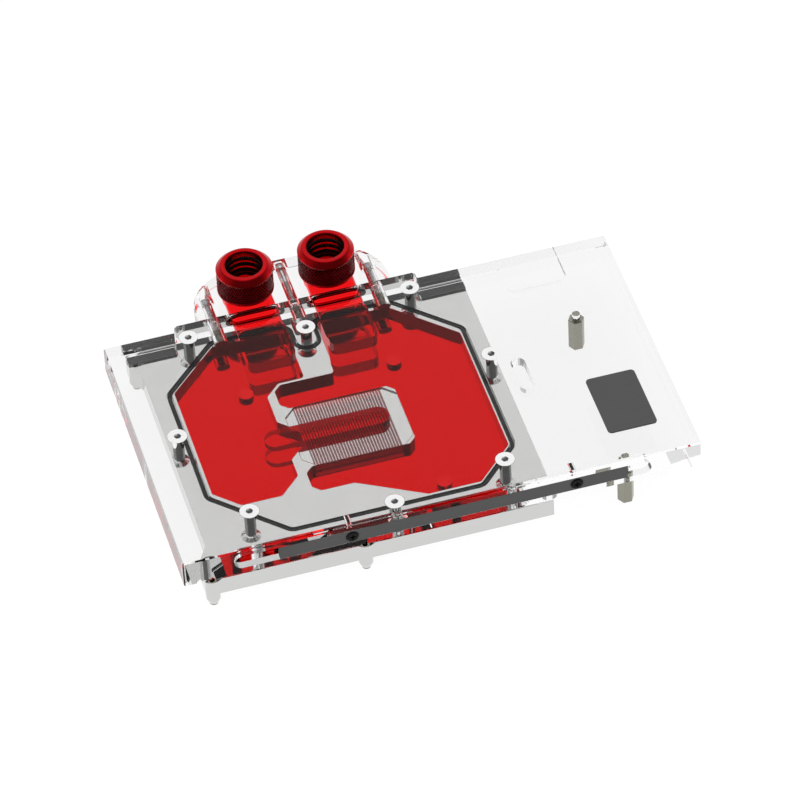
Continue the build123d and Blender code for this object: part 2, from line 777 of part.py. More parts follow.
# Seals at the joint, then a tube fitting over each port
fitting_base = cover_thickness + slip
sleeve_top = fitting_base + collar_height - collar_lip - 2 * slip
tube_seal_radius = tube_bore_radius - tube_seal_nip + tube_seal_cord / 2
base_seal_radius = (port_radius + sleeve_radius) / 2
for side, (x, y) in zip(sides, port_places):
    with BuildPart() as port_seal:
        with BuildSketch(standing(joint_face)):
            with Locations((x, port_axis_z)):
                SlotOverall(
                    port_width + 2 * port_seal_offset + port_seal_cord,
                    port_height + 2 * port_seal_offset + port_seal_cord,
                )
                SlotOverall(
                    port_width + 2 * port_seal_offset - port_seal_cord,
                    port_height + 2 * port_seal_offset - port_seal_cord,
                    mode=Mode.SUBTRACT,
                )
        extrude(amount=port_seal_groove_depth - slip)
        chamfer(port_seal.edges().filter_by(Plane.XZ), length=0.35)
    port_seal.part.label = f"port_seal_{side}"
    export_step(port_seal.part, f"parts/port_seal_{side}.step")

    section = standing(y, x)
    seal_step = [sleeve_top - 2.0 - tube_seal_pitch * i for i in range(tube_seal_count)]
    with BuildPart() as fitting_body:
        with BuildSketch(section):
            with BuildLine():
                Polyline(
                    (tube_stop_radius, cover_thickness - fitting_thread_length),
                    (fitting_thread_radius, cover_thickness - fitting_thread_length),
                    (fitting_thread_radius, fitting_base),
                    (sleeve_radius, fitting_base),
                    (sleeve_radius, sleeve_top),
                    (tube_bore_radius, sleeve_top),
                    (tube_bore_radius, fitting_base + sleeve_base),
                    (tube_stop_radius, fitting_base + sleeve_base),
                    close=True,
                )
            make_face()
            with Locations(*[(tube_seal_radius, z) for z in seal_step]):
                Rectangle(tube_seal_cord + 2 * slip, tube_seal_cord + 2 * slip, mode=Mode.SUBTRACT)
            with Locations((base_seal_radius, fitting_base)):
                Rectangle(
                    base_seal_cord + 2 * slip,
                    2 * (base_seal_cord + slip),
                    mode=Mode.SUBTRACT,
                )
        revolve(axis=spun(section))
    fitting_body.part.label = f"fitting_body_{side}"
    export_step(fitting_body.part, f"parts/fitting_body_{side}.step")

    with BuildPart() as collar:
        with BuildSketch(section) as profile:
            with BuildLine():
                Polyline(
                    (sleeve_radius + slip, fitting_base),
                    (collar_radius, fitting_base),
                    (collar_radius, fitting_base + collar_height),
                    (tube_bore_radius, fitting_base + collar_height),
                    (tube_bore_radius, fitting_base + collar_height - collar_lip),
                    (sleeve_radius + slip, fitting_base + collar_height - collar_lip),
                    close=True,
                )
            make_face()
            rim = profile.vertices().group_by(Axis.Y)[-1]
            chamfer(rim.sort_by(Axis.X)[-1], length=collar_chamfer)
            foot = profile.vertices().group_by(Axis.Y)[0]
            chamfer(foot.sort_by(Axis.X)[-1], length=0.4)
        revolve(axis=spun(section))
    collar.part.label = f"collar_{side}"
    export_step(collar.part, f"parts/collar_{side}.step")

    for number, z in enumerate(seal_step, start=1):
        with BuildPart() as tube_seal:
            with Locations(*on_deck([(x, y)], z)):
                Torus(tube_seal_radius, tube_seal_cord / 2)
        tube_seal.part.label = f"tube_seal_{side}_{number}"
        export_step(tube_seal.part, f"parts/tube_seal_{side}_{number}.step")

    with BuildPart() as base_seal:
        with Locations(*on_deck([(x, y)], fitting_base - slip / 2 + base_seal_cord / 2)):
            Torus(base_seal_radius, base_seal_cord / 2 - slip / 4)
    base_seal.part.label = f"base_seal_{side}"
    export_step(base_seal.part, f"parts/base_seal_{side}.step")

# Cover screws
for number, (x, y) in enumerate(cover_screw_places, start=1):
    sink = cover_screw_head_radius - cover_screw_radius
    with BuildPart() as cover_screw:
        section = standing(y, x)
        with BuildSketch(section):
            with BuildLine():
                Polyline(
                    (0, cover_thickness),
                    (cover_screw_head_radius, cover_thickness),
                    (cover_screw_radius, cover_thickness - sink),
                    (cover_screw_radius, 0.4 - cover_screw_grip),
                    (cover_screw_radius - 0.4, -cover_screw_grip),
                    (0, -cover_screw_grip),
                    close=True,
                )
            make_face()
        revolve(axis=spun(section))
        with BuildSketch(cover_top):
            with Locations((x, y)):
                RegularPolygon(cover_screw_key / 2, 6, major_radius=False)
        extrude(amount=-1.7, mode=Mode.SUBTRACT)
    cover_screw.part.label = f"cover_screw_{number}"
    export_step(cover_screw.part, f"parts/cover_screw_{number}.step")

# Front light: a board with lamps that face the cover, behind an aluminium bar
light_mid = (light_bar_left + light_bar_right) / 2
light_length = light_bar_right - light_bar_left
with BuildPart() as light_bar:
    with BuildSketch(standing(front_edge)):
        with Locations((light_mid, light_channel_z)):
            Rectangle(light_length, light_channel_height - 2 * slip)
    extrude(amount=-light_bar_thickness)
    with BuildSketch(standing(front_edge)):
        with Locations(*[(x, light_channel_z) for x in light_screw_places]):
            Circle(light_screw_radius + screw_play)
    extrude(amount=-light_bar_thickness, mode=Mode.SUBTRACT)
    with BuildSketch(standing(front_edge)):
        with Locations(*[(x, light_channel_z) for x in light_screw_places]):
            Circle(light_screw_head_radius + slip)
    extrude(amount=light_screw_proud - light_screw_head, mode=Mode.SUBTRACT)
light_bar.part.label = "light_bar"
export_step(light_bar.part, "parts/light_bar.step")

with BuildPart() as light_strip:
    strip_face = front_edge + light_bar_thickness + slip
    with BuildSketch(standing(strip_face)):
        with Locations((light_mid, light_channel_z)):
            Rectangle(light_length - 4, light_strip_height)
    extrude(amount=-light_strip_thickness)
    with BuildSketch(standing(strip_face + light_strip_thickness)):
        with Locations((light_mid, light_channel_z)):
            with GridLocations(light_length / lamp_count, 1, lamp_count, 1):
                Rectangle(lamp_size, lamp_size)
    extrude(amount=-lamp_thickness)
    with BuildSketch(standing(strip_face)):
        with Locations(*[(x, light_channel_z) for x in light_screw_places]):
            Circle(light_screw_radius + screw_play)
    extrude(amount=-light_channel_depth, mode=Mode.SUBTRACT)
light_strip.part.label = "light_strip"
export_step(light_strip.part, "parts/light_strip.step")

for side, x in zip(sides, light_screw_places):
    with BuildPart() as light_screw:
        with BuildSketch(standing(front_edge - light_screw_proud)):
            with Locations((x, light_channel_z)):
                Circle(light_screw_head_radius)
        extrude(amount=-(light_screw_head - slip))
        fillet(light_screw.edges().group_by(Axis.Y)[0], radius=0.6)
        with BuildSketch(standing(front_edge)):
            with Locations((x, light_channel_z)):
                Circle(light_screw_radius)
        extrude(amount=-light_screw_length)
        with BuildSketch(standing(front_edge - light_screw_proud)):
            with Locations((x, light_channel_z)):
                Rectangle(2.4, 0.6)
                Rectangle(0.6, 2.4)
        extrude(amount=-0.8, mode=Mode.SUBTRACT)
    light_screw.part.label = f"light_screw_{side}"
    export_step(light_screw.part, f"parts/light_screw_{side}.step")

# Rear light strips on the cold plate, under the cover
for side, (start, end) in zip(sides, (rear_strip_left_span, rear_strip_right_span)):
    with BuildPart() as rear_strip:
        with BuildSketch(deck.offset(slip)):
            with Locations(((start + end) / 2, rear_strip_front + rear_strip_width / 2)):
                Rectangle(end - start, rear_strip_width)
        extrude(amount=rear_strip_thickness)
    rear_strip.part.label = f"rear_light_strip_{side}"
    export_step(rear_strip.part, f"parts/rear_light_strip_{side}.step")

# Badge plate on the free end of the cover
with BuildPart() as badge:
    with BuildSketch(cover_top.offset(slip)):
        with Locations((right_edge - badge_inset, front_edge + badge_setback)):
            RectangleRounded(badge_length, badge_width, badge_corner)
    extrude(amount=badge_thickness)
    chamfer(badge.faces().sort_by(Axis.Z)[-1].edges(), length=0.15)
badge.part.label = "badge"
export_step(badge.part, "parts/badge.step")

# Threaded inserts in the legs
sink_depth = leg_sink_radius - leg_insert_radius
leg_names = ["front_left", "front_middle", "rear_left"]
for name, place in zip(leg_names, leg_places):
    with BuildPart() as leg_insert:
        with Locations(*on_deck([place], board_z)):
            Cylinder(
                leg_insert_radius,
                deck_z - sink_depth - screw_play,
                align=(Align.CENTER, Align.CENTER, Align.MIN),
            )
            Hole(leg_thread_radius)
    leg_insert.part.label = f"leg_insert_{name}"
    export_step(leg_insert.part, f"parts/leg_insert_{name}.step")

# Hexagonal standoffs under the free end of the cover
for name, place in zip(["rear", "front"], standoff_places):
    with BuildPart() as standoff:
        with BuildSketch(deck.offset(board_z)):
            with Locations(place):
                RegularPolygon(leg_radius, 6, major_radius=False)
        extrude(amount=deck_z - slip)
        chamfer(standoff.edges().filter_by(Plane.XY), length=0.3)
        with BuildSketch(deck.offset(-2 * slip)):
            with Locations(place):
                Circle(standoff_stud_radius)
        extrude(amount=standoff_stud_length + 2 * slip)
        with BuildSketch(deck.offset(board_z)):
            with Locations(place):
                Circle(leg_thread_radius)
        extrude(amount=post_thread_depth, mode=Mode.SUBTRACT)
    standoff.part.label = f"standoff_{name}"
    export_step(standoff.part, f"parts/standoff_{name}.step")
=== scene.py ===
"""Looks of a graphics card water block: clear acrylic cover, bright nickel cold plate, red coolant.

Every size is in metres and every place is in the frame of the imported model: X along the cover,
Y from the front edge to the terminal, Z up, with the tips of the legs at Z = 0.
"""
import json
import logging
import math
from dataclasses import dataclass
from enum import Enum

import bmesh
import bpy
from mathutils import Matrix, Vector


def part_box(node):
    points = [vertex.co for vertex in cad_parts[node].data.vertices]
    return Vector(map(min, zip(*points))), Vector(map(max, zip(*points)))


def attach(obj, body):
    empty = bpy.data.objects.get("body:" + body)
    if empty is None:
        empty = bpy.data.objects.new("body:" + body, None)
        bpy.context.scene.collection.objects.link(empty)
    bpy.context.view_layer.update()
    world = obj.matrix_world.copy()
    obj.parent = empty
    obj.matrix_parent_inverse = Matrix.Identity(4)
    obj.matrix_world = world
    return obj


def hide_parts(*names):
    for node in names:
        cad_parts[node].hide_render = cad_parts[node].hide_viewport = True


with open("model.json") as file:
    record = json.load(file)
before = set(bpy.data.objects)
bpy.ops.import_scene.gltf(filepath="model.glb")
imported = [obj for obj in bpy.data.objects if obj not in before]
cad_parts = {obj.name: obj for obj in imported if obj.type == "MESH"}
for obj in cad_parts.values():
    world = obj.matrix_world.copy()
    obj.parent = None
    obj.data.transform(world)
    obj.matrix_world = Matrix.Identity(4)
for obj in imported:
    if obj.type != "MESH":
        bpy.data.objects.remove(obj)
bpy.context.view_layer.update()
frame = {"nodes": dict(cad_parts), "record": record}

LOG = logging.getLogger("water_block")
MM = 0.001

# Name of the attribute that marks the grooves of a knurl, where painted shade darkens the colour
GROOVE = "groove"
# Edges that turn by more than this are shown sharp
CREASE = math.radians(25)
# Vertices nearer than this are one vertex: in a copy or a spun solid, and in a finished piece
MERGE = 0.001 * MM
WELD = 0.0001 * MM
# Most that a corner moves, beside its faces, when a skin is grown
SHARPEST_CORNER = 2.0
# Reflections after which a clear surface lets light straight through: more than three
SPENT_DEPTH = 3.5
# Distance between the slow changes of colour over a piece
MOTTLE_MM = 18.0
# Film width of the camera, and width of the picture that its focal length was measured in
SENSOR_MM = 36.0
PICTURE_PX = 800.0


def linear(hex_colour: str) -> tuple[float, float, float, float]:
    """Turns an sRGB hex colour into the linear colour that the shaders take.

    Args:
        hex_colour: Six hex digits after a hash sign.

    Returns:
        Linear red, green, blue and an alpha of 1.
    """
    channels = [int(hex_colour[i : i + 2], 16) / 255 for i in (1, 3, 5)]
    lit = [c / 12.92 if c <= 0.04045 else ((c + 0.055) / 1.055) ** 2.4 for c in channels]
    return (*lit, 1.0)


def per_mm(size_mm: float) -> float:
    """Scale of a pattern whose features are this many millimetres apart."""
    return 1.0 / (size_mm * MM)


def add_node(
    tree: bpy.types.NodeTree, kind: str, settings: dict | None = None, inputs: dict | None = None
) -> bpy.types.Node:
    """Adds one node with its settings, and its values and links.

    Args:
        tree: Node tree that takes the node.
        kind: Blender's name of the node type.
        settings: Attributes of the node, by name.
        inputs: For each input socket, a value, or the output socket that feeds it.

    Returns:
        The new node.
    """
    node = tree.nodes.new(kind)
    for name, value in (settings or {}).items():
        setattr(node, name, value)
    for name, value in (inputs or {}).items():
        if isinstance(value, bpy.types.NodeSocket):
            tree.links.new(value, node.inputs[name])
        else:
            node.inputs[name].default_value = value
    return node


class Grain(Enum):
    """Which way a surface's fine marks run, as the stretch of a noise along X, Y and Z."""

    EVEN = (1.0, 1.0, 1.0)
    ALONG_X = (0.03, 1.0, 1.0)
    ROUND_Z = (0.12, 0.12, 1.0)


class Axis(Enum):
    """An axis of the block's frame, or of the room."""

    X = "X"
    Y = "Y"
    Z = "Z"


class Side(Enum):
    """Which of the like pieces at the terminal, as the names of their CAD nodes end."""

    LEFT = "left"
    MIDDLE = "middle"
    RIGHT = "right"


@dataclass(frozen=True)
class Finish:
    """A surface finish with fine marks that vary its colour and roughness and lift it slightly.

    Attributes:
        name: Plain name of the finish.
        colour: Main colour, sRGB hex.
        tint: Colour that the marks vary towards, sRGB hex.
        roughness: Lowest and highest roughness.
        metallic: 1 for bare or plated metal.
        grain_mm: Distance between marks.
        grain: Which way they run.
        relief_mm: Height of the marks.
    """

    name: str
    colour: str
    tint: str
    roughness: tuple[float, float]
    metallic: float = 0.0
    grain_mm: float = 1.0
    grain: Grain = Grain.EVEN
    relief_mm: float = 0.004

    def build(self) -> bpy.types.Material:
        """Makes the material.

        Returns:
            The material, with its marks on Object coordinates.
        """
        material = bpy.data.materials.new(self.name)
        material.use_nodes = True
        tree = material.node_tree
        tree.nodes.clear()
        shader = self.mark(tree)
        surface = self.dress(tree, shader)
        out = add_node(tree, "ShaderNodeOutputMaterial", inputs={"Surface": surface})
        self.fill(tree, out)
        return material

    def mark(self, tree: bpy.types.NodeTree) -> bpy.types.Node:
        """Makes the main shader, with its fine marks and a slow change of colour.

        Args:
            tree: Node tree of the material.

        Returns:
            The main shader.
        """
        where = add_node(tree, "ShaderNodeTexCoord")
        turned = add_node(
            tree,
            "ShaderNodeMapping",
            inputs={"Vector": where.outputs["Object"], "Scale": self.grain.value},
        )
        marks = add_node(
            tree,
            "ShaderNodeTexNoise",
            inputs={
                "Vector": turned.outputs["Vector"],
                "Scale": per_mm(self.grain_mm),
                "Detail": 3.0,
                "Roughness": 0.6,
            },
        )
        mottle = add_node(
            tree,
            "ShaderNodeTexNoise",
            inputs={"Vector": where.outputs["Object"], "Scale": per_mm(MOTTLE_MM), "Detail": 2.0},
        )
        blend = add_node(
            tree,
            "ShaderNodeMath",
            {"operation": "MULTIPLY"},
            {0: marks.outputs["Fac"], 1: mottle.outputs["Fac"]},
        )
        colour = add_node(
            tree,
            "ShaderNodeMix",
            {"data_type": "RGBA"},
            {"Factor": blend.outputs[0], 6: linear(self.colour), 7: linear(self.tint)},
        )
        rough = add_node(
            tree,
            "ShaderNodeMapRange",
            inputs={
                "Value": marks.outputs["Fac"],
                "To Min": self.roughness[0],
                "To Max": self.roughness[1],
            },
        )
        bump = add_node(
            tree,
            "ShaderNodeBump",
            inputs={
                "Height": marks.outputs["Fac"],
                "Strength": 0.6,
                "Distance": self.relief_mm * MM,
            },
        )
        return add_node(
            tree,
            "ShaderNodeBsdfPrincipled",
            inputs={
                "Base Color": colour.outputs[2],
                "Metallic": self.metallic,
                "Roughness": rough.outputs[0],
                "Normal": bump.outputs["Normal"],
            },
        )

    def dress(
        self, tree: bpy.types.NodeTree, shader: bpy.types.Node
    ) -> bpy.types.NodeSocket:
        """Adds what only one kind of finish has, and gives the surface; plain ones add nothing."""
        return shader.outputs[0]

    def fill(self, tree: bpy.types.NodeTree, out: bpy.types.Node) -> None:
        """Gives the inside of the solid its own matter; opaque finishes have none."""

    @staticmethod
    def darken(
        tree: bpy.types.NodeTree,
        shader: bpy.types.Node,
        amount: bpy.types.NodeSocket,
        shade: str,
    ) -> None:
        """Turns the colour of the surface towards a darker one; the finishes use it for painted
        shade and painted reflection lines.

        Args:
            tree: Node tree of the material.
            shader: Its main shader.
            amount: How far, from 0 to 1.
            shade: The darker colour, sRGB hex.
        """
        plain = shader.inputs["Base Color"].links[0].from_socket
        colour = add_node(
            tree,
            "ShaderNodeMix",
            {"data_type": "RGBA"},
            {"Factor": amount, 6: plain, 7: linear(shade)},
        )
        tree.links.new(colour.outputs[2], shader.inputs["Base Color"])


@dataclass(frozen=True)
class GrooveShadedFinish(Finish):
    """A finish with painted shade in the grooves of a knurl, for the shade that its ridges cast
    there.

    Attributes:
        shade: Colour of the painted shade in the grooves, sRGB hex.
        shallow: Depth at which they start to turn dark, as a share of the whole.
        deep: Depth at which they are dark.
    """

    shade: str = "#140102"
    shallow: float = 0.1
    deep: float = 0.6

    def dress(
        self, tree: bpy.types.NodeTree, shader: bpy.types.Node
    ) -> bpy.types.NodeSocket:
        """Paints shade into the colour by the piece's own groove attribute.

        Args:
            tree: Node tree of the material.
            shader: Its main shader.

        Returns:
            The surface.
        """
        depth = add_node(tree, "ShaderNodeAttribute", {"attribute_name": GROOVE})
        dark = add_node(
            tree,
            "ShaderNodeMapRange",
            inputs={
                "Value": depth.outputs["Fac"],
                "From Min": self.shallow,
                "From Max": self.deep,
            },
        )
        # Painted shade: turns the grooves towards the dark colour
        self.darken(tree, shader, dark.outputs[0], self.shade)
        return shader.outputs[0]


@dataclass(frozen=True)
class DullFinish(Finish):
    """A finish that mirrors less than most, because clear acrylic lies against it.

    Attributes:
        ior: Index of refraction, beside that of what surrounds it.
    """

    ior: float = 1.25

    def dress(
        self, tree: bpy.types.NodeTree, shader: bpy.types.Node
    ) -> bpy.types.NodeSocket:
        """Sets the index of the surface, and gives the surface."""
        shader.inputs["IOR"].default_value = self.ior
        return shader.outputs[0]


@dataclass(frozen=True)
class PaintedFinLinesFinish(Finish):
    """Bright plate with a field of fins, where every second fin is painted darker as painted
    reflection.

    The fins mirror each other as fine lines. At 0.56 mm apart they are too fine to show in the
    picture, so these reflection lines are painted, as coarse as they need to show, one to two fins.

    Attributes:
        middle_mm: Middle of the field of fins, which is in a gap between two of them.
        half_mm: Half the size of the field.
        pitch_mm: Distance between two dark fins.
        blur: Half the soft edge of the lines, as a share of the height of their wave.
        shade: Colour of the painted reflection lines on every second fin, sRGB hex.
    """

    middle_mm: tuple[float, float, float] = (-21.4, -16.75, 12.0)
    half_mm: tuple[float, float, float] = (17.3, 16.2, 2.0)
    pitch_mm: float = 1.12
    blur: float = 0.3
    shade: str = "#8E8C8C"

    def dress(
        self, tree: bpy.types.NodeTree, shader: bpy.types.Node
    ) -> bpy.types.NodeSocket:
        """Paints every second fin darker, as painted reflection lines.

        Args:
            tree: Node tree of the material.
            shader: Its main shader.

        Returns:
            The surface.
        """
        where = add_node(tree, "ShaderNodeTexCoord")
        split = add_node(tree, "ShaderNodeSeparateXYZ", inputs={0: where.outputs["Object"]})
        middle_turns = self.middle_mm[0] / self.pitch_mm
        turns = add_node(
            tree,
            "ShaderNodeMath",
            {"operation": "MULTIPLY_ADD"},
            {
                0: split.outputs["X"],
                1: math.tau * per_mm(self.pitch_mm),
                2: math.pi / 2 - math.tau * middle_turns,
            },
        )
        wave = add_node(tree, "ShaderNodeMath", {"operation": "COSINE"}, {0: turns.outputs[0]})
        amount = add_node(
            tree,
            "ShaderNodeMapRange",
            inputs={"Value": wave.outputs[0], "From Min": -self.blur, "From Max": self.blur},
        )
        for axis, middle, half in zip(Axis, self.middle_mm, self.half_mm):
            inside = add_node(
                tree,
                "ShaderNodeMath",
                {"operation": "COMPARE"},
                {0: split.outputs[axis.value], 1: middle * MM, 2: half * MM},
            )
            amount = add_node(
                tree,
                "ShaderNodeMath",
                {"operation": "MULTIPLY"},
                {0: amount.outputs[0], 1: inside.outputs[0]},
            )
        # Painted reflection lines: every second fin turns towards the dark colour
        self.darken(tree, shader, amount.outputs[0], self.shade)
        return shader.outputs[0]


@dataclass(frozen=True)
class ThreadedFinish(Finish):
    """Bright steel whose shank carries a fine thread.

    Attributes:
        axis: The way that the screw lies.
        from_mm: Where the thread starts along that axis.
        to_mm: Where it ends.
        pitch_mm: Pitch of the thread.
        depth_mm: Height of its turns.
    """

    axis: Axis = Axis.Z
    from_mm: float = 0.0
    to_mm: float = 1.0
    pitch_mm: float = 0.7
    depth_mm: float = 0.12

    def dress(
        self, tree: bpy.types.NodeTree, shader: bpy.types.Node
    ) -> bpy.types.NodeSocket:
        """Lifts the surface in even turns between the two ends.

        Args:
            tree: Node tree of the material.
            shader: Its main shader.

        Returns:
            The surface.
        """
        where = add_node(tree, "ShaderNodeTexCoord")
        split = add_node(tree, "ShaderNodeSeparateXYZ", inputs={0: where.outputs["Object"]})
        along = split.outputs[self.axis.value]
        turns = add_node(
            tree,
            "ShaderNodeMath",
            {"operation": "MULTIPLY"},
            {0: along, 1: math.tau * per_mm(self.pitch_mm)},
        )
        wave = add_node(tree, "ShaderNodeMath", {"operation": "SINE"}, {0: turns.outputs[0]})
        middle = (self.from_mm + self.to_mm) / 2 * MM
        half = (self.to_mm - self.from_mm) / 2 * MM
        inside = add_node(
            tree, "ShaderNodeMath", {"operation": "COMPARE"}, {0: along, 1: middle, 2: half}
        )
        height = add_node(
            tree,
            "ShaderNodeMath",
            {"operation": "MULTIPLY"},
            {0: wave.outputs[0], 1: inside.outputs[0]},
        )
        bump = add_node(
            tree,
            "ShaderNodeBump",
            inputs={
                "Height": height.outputs[0],
                "Distance": self.depth_mm * MM,
                "Normal": shader.inputs["Normal"].links[0].from_socket,
            },
        )
        tree.links.new(bump.outputs["Normal"], shader.inputs["Normal"])
        return shader.outputs[0]


@dataclass(frozen=True)
class ClearFinish(Finish):
    """A see-through finish.

    Attributes:
        ior: Index of refraction, beside that of what surrounds it.
        glare: Grey of its reflection at a right angle, sRGB hex.
        absorbs: Colour that a long path takes on, sRGB hex, or empty for none.
        density: Absorption per metre of the colour that is absorbed most.
    """

    ior: float = 1.49
    glare: str = "#FFFFFF"
    absorbs: str = ""
    density: float = 0.0

    def dress(
        self, tree: bpy.types.NodeTree, shader: bpy.types.Node
    ) -> bpy.types.NodeSocket:
        """Makes the surface clear.

        Args:
            tree: Node tree of the material.
            shader: Its main shader.

        Returns:
            The surface.
        """
        shader.inputs["Transmission Weight"].default_value = 1.0
        shader.inputs["IOR"].default_value = self.ior
        shader.inputs["Specular Tint"].default_value = linear(self.glare)
        return self.let_through(tree, shader)

    @staticmethod
    def let_through(tree: bpy.types.NodeTree, shader: bpy.types.Node) -> bpy.types.NodeSocket:
        """Lets light from lamps through, and rays that were sent back too often.

        Args:
            tree: Node tree of the material.
            shader: The shader of the surface.

        Returns:
            The surface.
        """
        path = add_node(tree, "ShaderNodeLightPath")
        spent = add_node(
            tree,
            "ShaderNodeMath",
            {"operation": "GREATER_THAN"},
            {0: path.outputs["Glossy Depth"], 1: SPENT_DEPTH},
        )
        through = add_node(
            tree,
            "ShaderNodeMath",
            {"operation": "MAXIMUM"},
            {0: path.outputs["Is Shadow Ray"], 1: spent.outputs[0]},
        )
        straight = add_node(tree, "ShaderNodeBsdfTransparent")
        both = add_node(
            tree,
            "ShaderNodeMixShader",
            inputs={0: through.outputs[0], 1: shader.outputs[0], 2: straight.outputs[0]},
        )
        return both.outputs[0]

    def fill(self, tree: bpy.types.NodeTree, out: bpy.types.Node) -> None:
        """Adds the absorption inside, if there is any.

        Args:
            tree: Node tree of the material.
            out: Its output, which takes the inside.
        """
        if self.absorbs:
            inside = add_node(
                tree,
                "ShaderNodeVolumeAbsorption",
                inputs={"Color": linear(self.absorbs), "Density": self.density},
            )
            tree.links.new(inside.outputs[0], out.inputs["Volume"])


@dataclass(frozen=True)
class LiquidFinish(ClearFinish):
    """A liquid inside a clear body that bends light more than it does."""

    def dress(
        self, tree: bpy.types.NodeTree, shader: bpy.types.Node
    ) -> bpy.types.NodeSocket:
        """Puts a glass surface in place of the main shader, because its index is under 1.

        Args:
            tree: Node tree of the material.
            shader: Its main shader, which the glass takes over from.

        Returns:
            The surface.
        """
        glass = add_node(tree, "ShaderNodeBsdfGlass", inputs={"IOR": self.ior, "Roughness": 0.0})
        for old, new in (("Base Color", "Color"), ("Normal", "Normal")):
            tree.links.new(shader.inputs[old].links[0].from_socket, glass.inputs[new])
        tree.nodes.remove(shader)
        return self.let_through(tree, glass)


# Cast acrylic, milled and flame polished: clear, with a trace of waviness left by the polish
ACRYLIC = ClearFinish(
    "polished_clear_acrylic", "#F4F4F4", "#F2F2F2", (0.0, 0.01), grain_mm=9.0, relief_mm=0.0005,
    ior=1.49, glare="#606060",
)
# Coolant dyed red: its tint is partly on the skin, so thin and deep places are nearly as red
COOLANT = LiquidFinish(
    "clear_red_coolant", "#FF8C8F", "#FF8689", (0.0, 0.01), grain_mm=14.0, relief_mm=0.0003,
    ior=1.36 / 1.49, absorbs="#FC0048", density=300.0,
)
# Electroless nickel over milled copper: even bright grey, with faint mill lines along X
# Every second fin of its field is painted darker, as painted reflection lines
NICKEL = PaintedFinLinesFinish(
    "bright_nickel_plate", "#D0D0CF", "#CACAC9", (0.05, 0.08), 1.0, 0.5, Grain.ALONG_X, 0.00005
)
# EPDM seal cord: matt black, moulded
RUBBER = DullFinish(
    "black_epdm_rubber", "#080808", "#101010", (0.25, 0.35), 0.0, 0.25, Grain.EVEN, 0.01
)
# Red anodised aluminium: a clear red film over turned metal, so highlights stay red
# Its knurl carries painted shade in the grooves, by the groove attribute
RED_ANODISED = GrooveShadedFinish(
    "red_anodised_aluminium", "#BE1219", "#A00C12", (0.2, 0.3), 1.0, 0.25, Grain.ROUND_Z, 0.004
)
# Stainless steel screws: bright, with fine turning marks
STEEL = Finish(
    "turned_stainless_steel", "#E6E6E6", "#D8D8D8", (0.13, 0.19), 1.0, 0.2, Grain.ROUND_Z, 0.0005
)
# The same steel on the terminal's screws, with the turns of the thread along their shanks
THREADED_STEEL = ThreadedFinish(
    "threaded_stainless_steel", "#E6E6E6", "#D2D2D2", (0.2, 0.28), 1.0, 0.2, Grain.EVEN, 0.0005,
    axis=Axis.Y, from_mm=40.0, to_mm=63.0, pitch_mm=0.7,
)
# Black oxide on small screws: dark metal with a dull sheen
BLACK_OXIDE = Finish("black_oxide_steel", "#1B1B1B", "#101010", (0.3, 0.42), 0.9, 0.3)
# Dark grey anodising over brushed aluminium: fine lines along X, satin
DARK_ANODISED = Finish(
    "dark_brushed_anodising", "#535453", "#484948", (0.5, 0.6), 0.35, 0.3, Grain.ALONG_X, 0.003
)
# White solder mask of the light board, slightly glossy over its copper
WHITE_BOARD = Finish("white_solder_mask", "#E6E6E2", "#D8D8D4", (0.3, 0.4), 0.0, 1.2)
# Black solder mask of the rear light boards, greyed by the light that falls on it
BLACK_BOARD = Finish("black_solder_mask", "#6A6A6A", "#5E5E5E", (0.4, 0.5), 0.0, 1.2)
# Dull nickel over brass: warm grey, bead blasted
PLATED_BRASS = Finish("dull_plated_brass", "#98968A", "#848276", (0.22, 0.34), 1.0, 0.4)

FINISH_OF_SLOT = {
    "clear_acrylic": ACRYLIC,
    "nickel_plate": NICKEL,
    "red_coolant": COOLANT,
    "black_rubber": RUBBER,
    "red_anodised": RED_ANODISED,
    "stainless_screw": STEEL,
    "black_screw": BLACK_OXIDE,
    "dark_bar": DARK_ANODISED,
    "light_board": WHITE_BOARD,
    "black_strip": BLACK_BOARD,
    "plated_brass": PLATED_BRASS,
}


class Finishes:
    """The materials of the block, made once each and looked up by the record's slot."""

    def __init__(self) -> None:
        """Builds every material."""
        self.of_slot = {slot: finish.build() for slot, finish in FINISH_OF_SLOT.items()}
        self.thread = THREADED_STEEL.build()

    def dress_cad(self) -> None:
        """Gives every CAD node the material of its slot, and the terminal's screws a thread."""
        for part in frame["record"]["subparts"]:
            name, slot = part["node"], part["material_slot"]
            node = frame["nodes"][name]
            threaded = name.startswith("terminal_screw")
            node.data.materials.clear()
            node.data.materials.append(self.thread if threaded else self.of_slot[slot])
            LOG.info("%s: %s", name, slot)


def finish_piece(
    mesh: bmesh.types.BMesh, name: str, slot: str, finishes: Finishes, *stands_for: str
) -> bpy.types.Object:
    """Turns a finished mesh into a piece that rides on the block.

    Args:
        mesh: The mesh, in place in the frame of the model; it is freed here.
        name: Name of the piece.
        slot: The record's material slot.
        finishes: The materials of the block.
        stands_for: CAD nodes that the piece is shown instead of.

    Returns:
        The piece.
    """
    bmesh.ops.remove_doubles(mesh, verts=mesh.verts, dist=WELD)
    bmesh.ops.recalc_face_normals(mesh, faces=mesh.faces)
    for face in mesh.faces:
        face.smooth = True
    for edge in mesh.edges:
        edge.smooth = edge.calc_face_angle(0.0) < CREASE
    data = bpy.data.meshes.new(name)
    mesh.to_mesh(data)
    mesh.free()
    data.materials.append(finishes.of_slot[slot])
    piece = bpy.data.objects.new(name, data)
    bpy.context.scene.collection.objects.link(piece)
    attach(piece, "root")
    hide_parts(*stands_for)
    LOG.info("%s: %d faces", name, len(data.polygons))
    return piece


